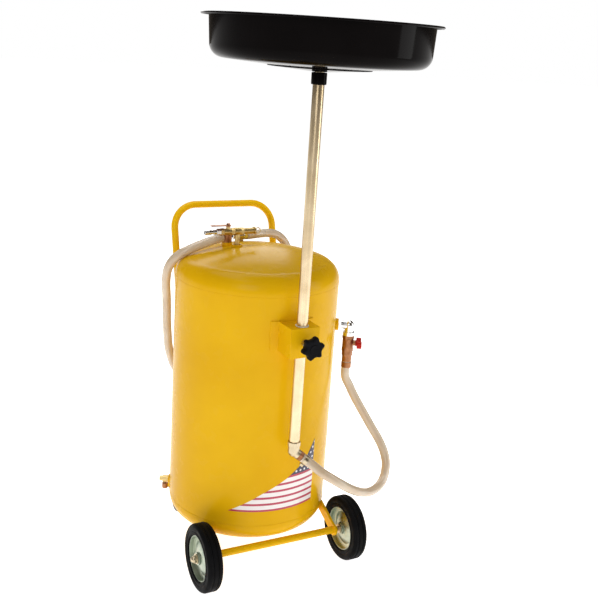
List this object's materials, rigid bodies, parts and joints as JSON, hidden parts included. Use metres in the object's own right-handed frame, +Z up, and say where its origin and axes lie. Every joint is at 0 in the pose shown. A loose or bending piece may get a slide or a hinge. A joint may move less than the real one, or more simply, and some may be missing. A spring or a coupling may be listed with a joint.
{
  "type": "waste_oil_drainer",
  "caption": "Wheeled waste-oil drainer: black drain pan on a height-adjustable mast, yellow pressure tank, drain hose, valves, push handle, two wheels and two casters",
  "frame": {"origin": "On the floor, at the centre of the footprint box of everything but the hoses", "axes": "+Z up, front with the mast towards -Y, push handle towards +Y, +X to the right seen from the front"},
  "size_m": [0.5502, 0.7334, 1.317],
  "materials": {
    "yellow_paint": "gloss",
    "black_enamel": "gloss",
    "zinc_steel": "satin",
    "bright_steel": "gloss",
    "brass": "satin",
    "bronze": "satin",
    "black_plastic": "matte",
    "nylon": "matte",
    "tyre_rubber": "matte",
    "caster_tread": "matte",
    "clear_hose": "gloss",
    "red_paint": "gloss",
    "sticker": "gloss"
  },
  "bodies": {
    "root": {"tank_shell": "yellow_paint", "tank_bosses": "yellow_paint", "rear_handle": "yellow_paint", "handle_gussets": "yellow_paint", "axle_struts": "yellow_paint", "axle_tube": "yellow_paint", "axle_rod": "zinc_steel", "axle_fasteners": "zinc_steel", "caster_brackets": "yellow_paint", "caster_plates": "zinc_steel", "caster_bolts": "zinc_steel", "mast_bracket": "yellow_paint", "mast_sleeve": "yellow_paint", "guide_bushes": "nylon", "clamp_nut": "zinc_steel", "clamp_shoe": "brass", "drain_hose": "clear_hose", "inlet_elbow": "bright_steel", "inlet_valve_body": "bronze", "inlet_barb": "bronze", "inlet_clamp": "bronze", "air_tee": "brass", "air_valve_body": "brass", "air_plug": "bright_steel", "relief_valve": "brass", "dip_tube": "zinc_steel", "hose_tail": "bronze", "discharge_hose": "clear_hose", "discharge_spout": "bright_steel", "spout_clip": "zinc_steel", "cock_body": "brass", "decal": "sticker"},
    "left_wheel": {"left_tyre": "tyre_rubber", "left_rim": "zinc_steel", "left_hub": "zinc_steel"},
    "right_wheel": {"right_tyre": "tyre_rubber", "right_rim": "zinc_steel", "right_hub": "zinc_steel"},
    "left_swivel": {"left_caster_fork": "zinc_steel", "left_caster_pin": "zinc_steel"},
    "left_caster": {"left_caster_wheel": "caster_tread"},
    "right_swivel": {"right_caster_fork": "zinc_steel", "right_caster_pin": "zinc_steel"},
    "right_caster": {"right_caster_wheel": "caster_tread"},
    "mast": {"mast_tube": "zinc_steel", "mast_pin": "zinc_steel", "mast_coupling": "black_enamel", "mast_elbow": "zinc_steel", "mast_barb": "bronze", "mast_clamp": "zinc_steel"},
    "pan": {"drain_pan": "black_enamel", "pan_plate": "black_enamel", "pan_spigot": "zinc_steel", "pan_strainer": "zinc_steel"},
    "clamp": {"clamp_screw": "zinc_steel", "clamp_knob": "black_plastic"},
    "inlet_tap": {"inlet_ball": "bright_steel", "inlet_handle": "red_paint"},
    "air_tap": {"air_lever": "bronze"},
    "drain_cock": {"cock_knob": "bronze"}
  },
  "joints": [
    {"name": "left_wheel_spin", "type": "hinge", "parent": "root", "child": "left_wheel", "pos_m": [-0.194, -0.06525, 0.0815], "axis": [1, 0, 0], "continuous": true},
    {"name": "right_wheel_spin", "type": "hinge", "parent": "root", "child": "right_wheel", "pos_m": [0.194, -0.06525, 0.0815], "axis": [1, 0, 0], "continuous": true},
    {"name": "left_caster_turn", "type": "hinge", "parent": "root", "child": "left_swivel", "pos_m": [-0.118, 0.28575, 0.078], "axis": [0, 0, 1], "continuous": true},
    {"name": "left_caster_spin", "type": "hinge", "parent": "left_swivel", "child": "left_caster", "pos_m": [-0.118, 0.30575, 0.035], "axis": [1, 0, 0], "continuous": true},
    {"name": "right_caster_turn", "type": "hinge", "parent": "root", "child": "right_swivel", "pos_m": [0.118, 0.28575, 0.078], "axis": [0, 0, 1], "continuous": true},
    {"name": "right_caster_spin", "type": "hinge", "parent": "right_swivel", "child": "right_caster", "pos_m": [0.118, 0.30575, 0.035], "axis": [1, 0, 0], "continuous": true},
    {"name": "mast_height", "type": "slide", "parent": "root", "child": "mast", "axis": [0, 0, 1], "range_m": [-0.18, 0.2], "deforming": ["drain_hose"]},
    {"name": "pan_turn", "type": "hinge", "parent": "mast", "child": "pan", "pos_m": [0, -0.11725, 1.2], "axis": [0, 0, 1], "continuous": true},
    {"name": "clamp_turn", "type": "hinge", "parent": "root", "child": "clamp", "pos_m": [0, -0.17425, 0.622], "axis": [0, -1, 0], "range_deg": [-180, 0]},
    {"name": "inlet_tap_turn", "type": "hinge", "parent": "root", "child": "inlet_tap", "pos_m": [0.20564, 0.01409, 0.554], "axis": [0.8788, -0.4772, 0], "range_deg": [0, 90]},
    {"name": "air_tap_turn", "type": "hinge", "parent": "root", "child": "air_tap", "pos_m": [-0.073, 0.15175, 0.825], "axis": [0, 0, 1], "range_deg": [0, 90]},
    {"name": "drain_cock_turn", "type": "hinge", "parent": "root", "child": "drain_cock", "pos_m": [-0.18619, 0.23325, 0.13], "axis": [0, 0, 1], "range_deg": [0, 90]}
  ]
}
